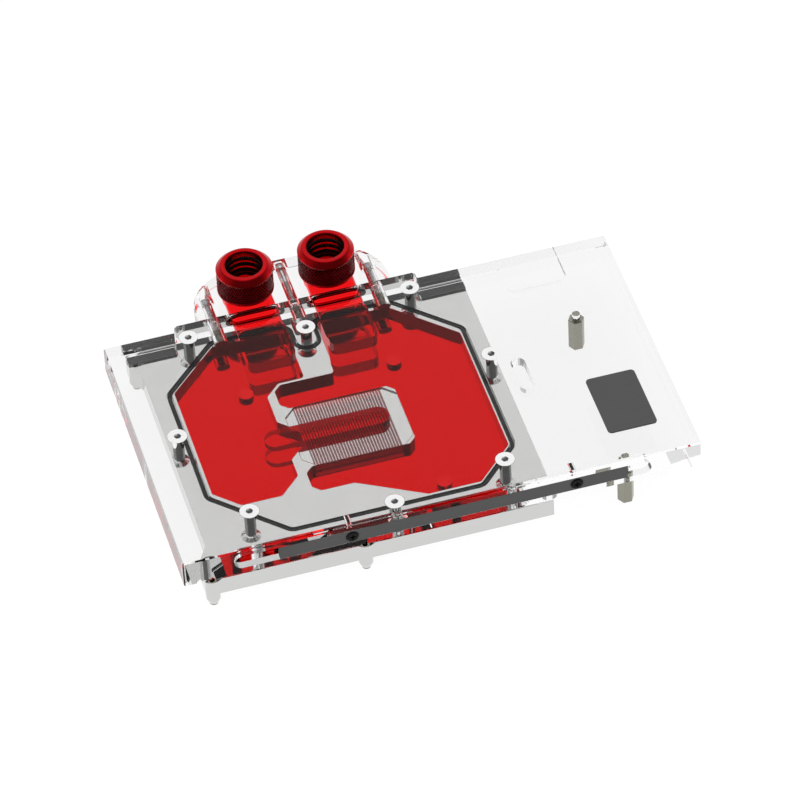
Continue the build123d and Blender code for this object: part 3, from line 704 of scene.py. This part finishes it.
def grown(node: str, shift: float) -> bmesh.types.BMesh:
    """Copies a CAD solid and moves its skin.

    Args:
        node: The CAD node.
        shift: How far the skin moves outwards, or inwards where it is negative.

    Returns:
        The merged copy.
    """
    solid = bmesh.new()
    solid.from_mesh(frame["nodes"][node].data)
    bmesh.ops.remove_doubles(solid, verts=solid.verts, dist=MERGE)
    bmesh.ops.recalc_face_normals(solid, faces=solid.faces)
    solid.normal_update()
    skin = [(v, v.normal * min(v.calc_shell_factor(), SHARPEST_CORNER)) for v in solid.verts]
    for vert, way in skin:
        vert.co += way * shift
    return solid


def united(solids: list[bmesh.types.BMesh]) -> bmesh.types.BMesh:
    """Joins overlapping solids into one with a single skin.

    Args:
        solids: The solids, which are freed here.

    Returns:
        The joined solid.
    """
    parts = []
    for solid in solids:
        data = bpy.data.meshes.new("joined")
        solid.to_mesh(data)
        solid.free()
        part = bpy.data.objects.new("joined", data)
        bpy.context.scene.collection.objects.link(part)
        parts.append(part)
    for other in parts[1:]:
        join = parts[0].modifiers.new("join", "BOOLEAN")
        join.operation = "UNION"
        join.solver = "EXACT"
        join.use_self = True
        join.object = other
    whole = bmesh.new()
    whole.from_object(parts[0], bpy.context.evaluated_depsgraph_get())
    for part in parts:
        data = part.data
        bpy.data.objects.remove(part)
        bpy.data.meshes.remove(data)
    return whole


@dataclass
class ClearBlock:
    """Acrylic and coolant, as one clear body with the red liquid inside it.

    The acrylic is drawn in, which leaves the film of air that parts in contact have between
    them. It fills the room of the coolant too, and the coolant lies just inside it, so that
    light passes from one to the other without a gap and bends by the ratio of their indices.

    Attributes:
        film: How far the acrylic is drawn in.
        fill: How far the room of the coolant is grown, past its clearance and into the metal.
        wetting: How far the coolant is grown.
        broken: Size of the broken edges.
        reach: How far in from the free end its broken edge is looked for, past its own size.
    """

    film: float = 0.03 * MM
    fill: float = 0.12 * MM
    wetting: float = 0.1 * MM
    broken: float = 0.5 * MM
    reach: float = 0.25 * MM

    def build(self, finishes: Finishes) -> None:
        """Builds the clear body and the two bodies of coolant.

        Args:
            finishes: The materials of the block.
        """
        cover, terminal = (grown(node, -self.film) for node in ("cover_plate", "terminal_block"))
        self.square_free_end(cover)
        rooms = [grown(node, self.fill) for node in ("coolant_inlet", "coolant_outlet")]
        finish_piece(
            united([cover, terminal, *rooms]), "clear_body", "clear_acrylic", finishes,
            "cover_plate", "terminal_block",
        )
        for flow in ("inlet", "outlet"):
            node = f"coolant_{flow}"
            liquid = grown(node, self.wetting)
            finish_piece(liquid, f"{flow}_liquid", "red_coolant", finishes, node)

    def square_free_end(self, cover: bmesh.types.BMesh) -> None:
        """Squares the lower edge of the cover's free end, which is sharp and clear to look at.

        Args:
            cover: The cover, whose lower edge there still has its broken corner.
        """
        end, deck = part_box("cover_plate")[1].x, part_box("cold_plate")[1].z
        for vert in cover.verts:
            near_end = end - self.broken - self.reach < vert.co.x
            if near_end and vert.co.z < deck + self.reach:
                vert.co.x = end - self.film


@dataclass
class SealCord:
    """The main seal as a slim cord, with the bright sides of its groove beside it.

    Attributes:
        slimming: How far the cord is drawn in.
    """

    slimming: float = 0.32 * MM

    def build(self, finishes: Finishes) -> None:
        """Draws in a copy of the seal."""
        cord = grown("chamber_seal", -self.slimming)
        finish_piece(cord, "chamber_seal_cord", "black_rubber", finishes, "chamber_seal")


def knurl_rings(
    radius: float, first: float, last: float, rows: int
) -> list[tuple[float, float]]:
    """Spaces the rings of a knurled band, two to a row of diamonds.

    Args:
        radius: Outer radius of the band.
        first: Height of its first ring.
        last: Height of its last ring.
        rows: Rows of diamonds.

    Returns:
        Radius and height of each ring.
    """
    return [(radius, first + (last - first) * i / (2 * rows)) for i in range(2 * rows + 1)]


def spin_section(section: list[tuple[float, float]], steps: int) -> bmesh.types.BMesh:
    """Spins a closed section around Z.

    Args:
        section: Radius and height of each of its corners.
        steps: Steps around the solid.

    Returns:
        The solid.
    """
    solid = bmesh.new()
    ring = [solid.verts.new((r, 0.0, z)) for r, z in section]
    edges = [solid.edges.new(pair) for pair in zip(ring, ring[1:] + ring[:1])]
    bmesh.ops.spin(
        solid, geom=ring + edges, cent=(0, 0, 0), axis=(0, 0, 1), angle=math.tau, steps=steps,
        use_merge=True,
    )
    bmesh.ops.remove_doubles(solid, verts=solid.verts, dist=MERGE)
    return solid


def cut_knurl(
    spun: bmesh.types.BMesh,
    radius: float,
    depth: float,
    knurl: list[tuple[float, float]],
    steps: int,
) -> None:
    """Sinks the corners of the diamonds and joins them by the crossing grooves.

    Args:
        spun: The spun solid, around Z.
        radius: Its outer radius.
        depth: Depth of the grooves where they cross.
        knurl: Radius and height of each ring of the band.
        steps: Steps around the solid, two to a diamond.
    """
    pitch = knurl[1][1] - knurl[0][1]
    low, high = knurl[0][1], knurl[-1][1]
    groove = spun.verts.layers.float.get(GROOVE) or spun.verts.layers.float.new(GROOVE)
    corners = []
    for vert in spun.verts:
        out = math.hypot(vert.co.x, vert.co.y)
        if abs(out - radius) > MERGE or not low + pitch / 2 < vert.co.z < high - pitch / 2:
            continue
        row = round((vert.co.z - low) / pitch)
        step = round(math.atan2(vert.co.y, vert.co.x) / math.tau * steps)
        if (row + step) % 2 == 0:
            sunk = (out - depth) / out
            vert.co.x *= sunk
            vert.co.y *= sunk
            # The mark of the groove, which the painted shade of the finish reads
            vert[groove] = 1.0
            corners.append(vert)
    bmesh.ops.connect_verts(spun, verts=corners)


@dataclass
class KnurledCollar:
    """Collar of a tube fitting, with a diamond knurl of small pyramids around it.

    Attributes:
        side: Which of the two, left or right.
        bore_radius: Bore at the lip.
        sleeve_radius: Radius of the space for the sleeve inside.
        lip: Thickness of the lip at the top.
        chamfer: Size of the slope between the knurl and the top.
        foot: Plain slope under the knurl.
        edge: Rounding of the turned edges.
        band: Plain bands over and under the knurl.
        diamonds: Diamonds around the collar.
        rows: Rows of diamonds up the collar.
        knurl_depth: Height of the pyramids.
    """

    side: Side
    bore_radius: float = 7.25 * MM
    sleeve_radius: float = 9.45 * MM
    lip: float = 1.6 * MM
    chamfer: float = 1.85 * MM
    foot: float = 0.5 * MM
    edge: float = 0.25 * MM
    band: float = 0.15 * MM
    diamonds: int = 60
    rows: int = 5
    knurl_depth: float = 0.42 * MM

    def build(self, finishes: Finishes) -> None:
        """Spins the section, rounds the rims and cuts the knurl.

        Args:
            finishes: The materials of the block.
        """
        node = f"collar_{self.side.value}"
        low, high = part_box(node)
        middle = (low + high) / 2
        radius, height = (high.x - low.x) / 2, high.z - low.z
        steps = 2 * self.diamonds
        top = height - self.chamfer
        knurl = knurl_rings(radius, self.foot + self.band, top - self.band, self.rows)
        section = [
            (self.sleeve_radius, 0.0),
            (radius - self.foot, 0.0),
            (radius, self.foot),
            *knurl,
            (radius, top),
            (radius - self.chamfer, height),
            (self.bore_radius, height),
            (self.bore_radius, height - self.lip),
            (self.sleeve_radius, height - self.lip),
        ]
        collar = spin_section(section, steps)
        self.round_rims(collar, radius, height)
        cut_knurl(collar, radius, self.knurl_depth, knurl, steps)
        place = Matrix.Translation((middle.x, middle.y, low.z))
        bmesh.ops.transform(collar, matrix=place, verts=collar.verts)
        finish_piece(collar, f"knurled_{node}", "red_anodised", finishes, node)

    def round_rims(self, collar: bmesh.types.BMesh, radius: float, height: float) -> None:
        """Rounds the two rims of the top.

        Args:
            collar: The spun solid.
            radius: Its outer radius.
            height: Its height.
        """
        rims = [(radius - self.chamfer, height), (self.bore_radius, height)]
        bmesh.ops.bevel(
            collar,
            geom=[edge for edge in collar.edges if self.lies_on(edge, rims)],
            offset=self.edge,
            segments=2,
            profile=0.5,
            affect="EDGES",
            material=-1,
        )

    @staticmethod
    def lies_on(edge: bmesh.types.BMEdge, rings: list[tuple[float, float]]) -> bool:
        """Tells whether an edge runs round one of some rings.

        Args:
            edge: The edge.
            rings: Radius and height of each ring.

        Returns:
            True if both its ends are on the same ring.
        """
        return any(
            all(
                abs(math.hypot(v.co.x, v.co.y) - radius) < MERGE and abs(v.co.z - height) < MERGE
                for v in edge.verts
            )
            for radius, height in rings
        )


@dataclass
class KnurledInsert:
    """Brass insert in the edge of the cover, with a diamond knurl on both sides of a groove.

    Attributes:
        side: Which of the three.
        bore_radius: Bore for the thread of the screw.
        neck: Width of the plain groove between the two knurls.
        rim: Plain rims at the ends.
        diamonds: Diamonds around the insert.
        rows: Rows of diamonds in each knurl.
        knurl_depth: Height of the pyramids.
    """

    side: Side
    bore_radius: float = 1.8 * MM
    neck: float = 1.0 * MM
    rim: float = 0.3 * MM
    diamonds: int = 18
    rows: int = 3
    knurl_depth: float = 0.3 * MM

    def build(self, finishes: Finishes) -> None:
        """Spins the section about Z, cuts the knurls and lays the insert along Y.

        Args:
            finishes: The materials of the block.
        """
        node = f"terminal_insert_{self.side.value}"
        low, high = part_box(node)
        radius, half = (high.x - low.x) / 2, (high.y - low.y) / 2
        steps = 2 * self.diamonds
        start = self.neck / 2
        throat = radius - self.knurl_depth
        upper = knurl_rings(radius, start, half - self.rim, self.rows)
        lower = [(r, -z) for r, z in reversed(upper)]
        section = [
            (self.bore_radius, -half),
            (throat, -half),
            *lower,
            (throat, -start + self.rim / 2),
            (throat, start - self.rim / 2),
            *upper,
            (throat, half),
            (self.bore_radius, half),
        ]
        insert = spin_section(section, steps)
        for knurl in (lower, upper):
            cut_knurl(insert, radius, self.knurl_depth, knurl, steps)
        lie = Matrix.Translation((low + high) / 2) @ Matrix.Rotation(math.radians(-90), 4, "X")
        bmesh.ops.transform(insert, matrix=lie, verts=insert.verts)
        name = f"knurled_insert_{self.side.value}"
        finish_piece(insert, name, "plated_brass", finishes, node)


@dataclass(frozen=True)
class SoftBox:
    """A lamp behind a wide cloth.

    Attributes:
        name: Its name.
        bearing: Its bearing from the block, clockwise from the back, in degrees.
        height: Its height over the horizon, in degrees.
        away: Its distance from the block.
        width: Width of the cloth.
        tall: Height of the cloth.
        radiance: Brightness of the cloth.
    """

    name: str
    bearing: float
    height: float
    away: float
    width: float
    tall: float
    radiance: float

    def hang(self, aim: Vector) -> None:
        """Hangs the lamp, with its cloth towards the block.

        Args:
            aim: Point of the block that it lights.
        """
        turn, lift = math.radians(self.bearing), math.radians(self.height)
        way = Vector(
            (math.sin(turn) * math.cos(lift), math.cos(turn) * math.cos(lift), math.sin(lift))
        )
        lamp = bpy.data.lights.new(self.name, "AREA")
        lamp.shape = "RECTANGLE"
        lamp.size = self.width
        lamp.size_y = self.tall
        lamp.energy = self.radiance * math.pi * self.width * self.tall
        holder = bpy.data.objects.new(self.name, lamp)
        holder.location = aim + way * self.away
        holder.rotation_euler = way.to_track_quat("Z", "Y").to_euler()
        bpy.context.scene.collection.objects.link(holder)


@dataclass
class Studio:
    """Plain white floor, soft light and the camera.

    The room is given by direction: Z is the sine of the height over the horizon, and Y is
    negative on the camera's side.

    Attributes:
        target: Point of the block that the middle of the picture shows.
        azimuth: Bearing of the camera, in degrees.
        elevation: Height of the camera over the horizon, in degrees.
        roll: Turn of the camera about its own axis, in degrees.
        distance: From the target to the camera.
        focal_px: Focal length in pixels of the picture.
        clip: Nearest and farthest distance that the camera sees.
        floor_half: Half the side of the floor.
        floor_drop: How far the floor lies under the legs.
        floor_grey: Grey of the floor, as it lights the block.
        floor_shown: Grey of the floor that takes the shadow, as it is seen.
        floor_glow: White of the floor, as it is seen.
        card_core: Half angle of the card's even middle, in degrees.
        card_edge: Half angle at which the card ends, in degrees.
        card_light: Brightness of the card, as metal and glass show it.
        wall_light: Brightness of the room near the horizon, likewise.
        wall_top: Z where the walls start to turn into the roof, and where they have.
        roof_light: Brightness of the room overhead, likewise.
        crown_light: Brightness of the room straight above, likewise.
        crown_edge: Z where the crown starts, and where it is full.
        flag_light: Brightness of the dark flag over the camera, likewise.
        flag_sides: Axis of each side of the flag, where the flag starts and where it is full.
        boxes: The lamps, one wide soft box over the back and two at the sides.
    """

    target: tuple[float, float, float] = (2.554 * MM, -4.058 * MM, 14.4 * MM)
    azimuth: float = -13.956
    elevation: float = 44.528
    roll: float = 3.137
    distance: float = 2147.0 * MM
    focal_px: float = 5665.0
    clip: tuple[float, float] = (0.1, 20.0)
    floor_half: float = 6.0
    floor_drop: float = 0.05 * MM
    floor_grey: float = 0.6
    floor_shown: float = 0.1
    floor_glow: float = 0.94
    card_core: float = 16.0
    card_edge: float = 28.0
    card_light: float = 0.81
    wall_light: float = 0.95
    wall_top: tuple[float, float] = (0.15, 0.55)
    roof_light: float = 0.36
    crown_light: float = 0.7
    crown_edge: tuple[float, float] = (0.93, 0.985)
    flag_light: float = 0.1
    flag_sides: tuple[tuple[Axis, float, float], ...] = (
        (Axis.Z, 0.42, 0.55),
        (Axis.Z, 0.95, 0.87),
        (Axis.Y, -0.05, -0.35),
    )
    boxes: tuple[SoftBox, ...] = (
        SoftBox("back_box", 14.0, 46.0, 1.8, 1.6, 1.0, 0.35),
        SoftBox("left_box", -75.0, 18.0, 2.0, 0.9, 0.5, 1.2),
        SoftBox("right_box", 95.0, 18.0, 2.0, 0.9, 0.5, 1.2),
    )

    def build(self) -> None:
        """Builds the floor, the light and the camera."""
        self.lay_floor()
        self.light_world()
        for box in self.boxes:
            box.hang(Vector(self.target))
        self.set_camera()

    def lay_floor(self) -> None:
        """Lays a white floor that keeps a faint shadow."""
        mesh = bmesh.new()
        bmesh.ops.create_grid(mesh, x_segments=1, y_segments=1, size=self.floor_half)
        data = bpy.data.meshes.new("floor")
        mesh.to_mesh(data)
        mesh.free()
        floor = bpy.data.objects.new("floor", data)
        floor.location.z = -self.floor_drop
        bpy.context.scene.collection.objects.link(floor)
        material = bpy.data.materials.new("white_floor")
        material.use_nodes = True
        tree = material.node_tree
        tree.nodes.clear()
        seen = self.seen_ray(tree)
        paper, faint = (
            add_node(tree, "ShaderNodeBsdfDiffuse", inputs={"Color": (grey, grey, grey, 1)})
            for grey in (self.floor_grey, self.floor_shown)
        )
        glow = add_node(tree, "ShaderNodeEmission", inputs={"Strength": self.floor_glow})
        white = add_node(
            tree, "ShaderNodeAddShader", inputs={0: faint.outputs[0], 1: glow.outputs[0]}
        )
        both = add_node(
            tree, "ShaderNodeMixShader", inputs={0: seen, 1: paper.outputs[0], 2: white.outputs[0]}
        )
        add_node(tree, "ShaderNodeOutputMaterial", inputs={"Surface": both.outputs[0]})
        data.materials.append(material)

    @staticmethod
    def seen_ray(tree: bpy.types.NodeTree) -> bpy.types.NodeSocket:
        """Tells what is seen directly, in a reflection or through a clear piece.

        Args:
            tree: Node tree of the floor or the world.

        Returns:
            A factor of 1 for such rays and 0 for others.
        """
        path = add_node(tree, "ShaderNodeLightPath")
        seen = path.outputs["Is Camera Ray"]
        for kind in ("Is Glossy Ray", "Is Transmission Ray"):
            either = add_node(
                tree, "ShaderNodeMath", {"operation": "MAXIMUM"}, {0: seen, 1: path.outputs[kind]}
            )
            seen = either.outputs[0]
        return seen

    def light_world(self) -> None:
        """Lights the room evenly, and gives what mirrors it white walls, a card and a dark flag.

        The card is a soft white one, wide enough that flat tops and the sides of walls mirror it
        into the camera. The flag hangs over the camera, low enough that walls facing the camera
        mirror it as dark bands, and high enough that flat tops do not from behind.
        """
        world = bpy.data.worlds.new("studio")
        bpy.context.scene.world = world
        world.use_nodes = True
        tree = world.node_tree
        tree.nodes.clear()
        where = add_node(tree, "ShaderNodeTexCoord").outputs["Generated"]
        mirrored = add_node(
            tree,
            "ShaderNodeMath",
            {"operation": "MAXIMUM"},
            {0: self.card(tree, where), 1: self.room(tree, where)},
        )
        path = add_node(tree, "ShaderNodeLightPath")
        white = (1, 1, 1, 1)
        even = add_node(tree, "ShaderNodeBackground", inputs={"Color": white, "Strength": 1.0})
        shown = add_node(
            tree, "ShaderNodeBackground", inputs={"Color": white, "Strength": mirrored.outputs[0]}
        )
        lit = add_node(
            tree,
            "ShaderNodeMixShader",
            inputs={0: self.seen_ray(tree), 1: even.outputs[0], 2: shown.outputs[0]},
        )
        both = add_node(
            tree,
            "ShaderNodeMixShader",
            inputs={0: path.outputs["Is Camera Ray"], 1: lit.outputs[0], 2: even.outputs[0]},
        )
        add_node(tree, "ShaderNodeOutputWorld", inputs={"Surface": both.outputs[0]})

    def card(self, tree: bpy.types.NodeTree, where: bpy.types.NodeSocket) -> bpy.types.NodeSocket:
        """Makes the card, at the height where flat tops mirror it into the camera.

        Args:
            tree: Node tree of the world.
            where: Direction in the room.

        Returns:
            Brightness of the card, 0 outside it.
        """
        lift = math.radians(self.elevation)
        nearness = add_node(
            tree,
            "ShaderNodeVectorMath",
            {"operation": "DOT_PRODUCT"},
            {0: where, 1: (0.0, math.cos(lift), math.sin(lift))},
        )
        card = add_node(
            tree,
            "ShaderNodeMapRange",
            {"interpolation_type": "SMOOTHSTEP"},
            {
                "Value": nearness.outputs["Value"],
                "From Min": math.cos(math.radians(self.card_edge)),
                "From Max": math.cos(math.radians(self.card_core)),
                "To Max": self.card_light,
            },
        )
        return card.outputs[0]

    def room(self, tree: bpy.types.NodeTree, where: bpy.types.NodeSocket) -> bpy.types.NodeSocket:
        """Makes the walls and the roof with its crown, and hangs the flag before them.

        Args:
            tree: Node tree of the world.
            where: Direction in the room.

        Returns:
            Their brightness.
        """
        split = add_node(tree, "ShaderNodeSeparateXYZ", inputs={0: where})
        walls = add_node(
            tree,
            "ShaderNodeMapRange",
            {"interpolation_type": "SMOOTHSTEP"},
            {
                "Value": split.outputs["Z"],
                "From Min": self.wall_top[0],
                "From Max": self.wall_top[1],
                "To Min": self.wall_light,
                "To Max": self.roof_light,
            },
        )
        flagged = add_node(
            tree,
            "ShaderNodeMix",
            {"data_type": "FLOAT"},
            {"Factor": self.flag(tree, split), 2: walls.outputs[0], 3: self.flag_light},
        )
        crown = add_node(
            tree,
            "ShaderNodeMapRange",
            {"interpolation_type": "SMOOTHSTEP"},
            {
                "Value": split.outputs["Z"],
                "From Min": self.crown_edge[0],
                "From Max": self.crown_edge[1],
                "To Max": self.crown_light,
            },
        )
        room = add_node(
            tree,
            "ShaderNodeMath",
            {"operation": "MAXIMUM"},
            {0: crown.outputs[0], 1: flagged.outputs[0]},
        )
        return room.outputs[0]

    def flag(self, tree: bpy.types.NodeTree, split: bpy.types.Node) -> bpy.types.NodeSocket:
        """Makes the flag, as the product of its soft sides.

        Args:
            tree: Node tree of the world.
            split: The direction in the room, split by axis.

        Returns:
            A factor of 1 on the flag and 0 outside it.
        """
        first, *others = (
            add_node(
                tree,
                "ShaderNodeMapRange",
                {"interpolation_type": "SMOOTHSTEP"},
                {"Value": split.outputs[axis.value], "From Min": start, "From Max": full},
            )
            for axis, start, full in self.flag_sides
        )
        flag = first.outputs[0]
        for side in others:
            product = add_node(
                tree, "ShaderNodeMath", {"operation": "MULTIPLY"}, {0: flag, 1: side.outputs[0]}
            )
            flag = product.outputs[0]
        return flag

    def set_camera(self) -> None:
        """Sets the camera at the angle of the photograph."""
        turn, lift, roll = (math.radians(a) for a in (self.azimuth, self.elevation, self.roll))
        back = Vector(
            (math.sin(turn) * math.cos(lift), -math.cos(turn) * math.cos(lift), math.sin(lift))
        )
        right = Vector((math.cos(turn), math.sin(turn), 0.0))
        up = back.cross(right)
        across = math.cos(roll) * right - math.sin(roll) * up
        upward = math.sin(roll) * right + math.cos(roll) * up
        camera = bpy.data.cameras.new("camera")
        camera.sensor_width = SENSOR_MM
        camera.lens = self.focal_px * SENSOR_MM / PICTURE_PX
        camera.clip_start, camera.clip_end = self.clip
        holder = bpy.data.objects.new("camera", camera)
        turned = Matrix((across, upward, back)).transposed()
        place = Vector(self.target) + back * self.distance
        holder.matrix_world = Matrix.Translation(place) @ turned.to_4x4()
        bpy.context.scene.collection.objects.link(holder)
        bpy.context.scene.camera = holder


def main() -> None:
    """Dresses the frame, adds the new pieces and sets the studio."""
    logging.basicConfig(level=logging.INFO, format="%(message)s")
    bpy.context.scene.view_settings.view_transform = "Standard"
    finishes = Finishes()
    finishes.dress_cad()
    ClearBlock().build(finishes)
    SealCord().build(finishes)
    for side in (Side.LEFT, Side.RIGHT):
        KnurledCollar(side).build(finishes)
    for side in Side:
        KnurledInsert(side).build(finishes)
    Studio().build()


if __name__ == "__main__":
    main()
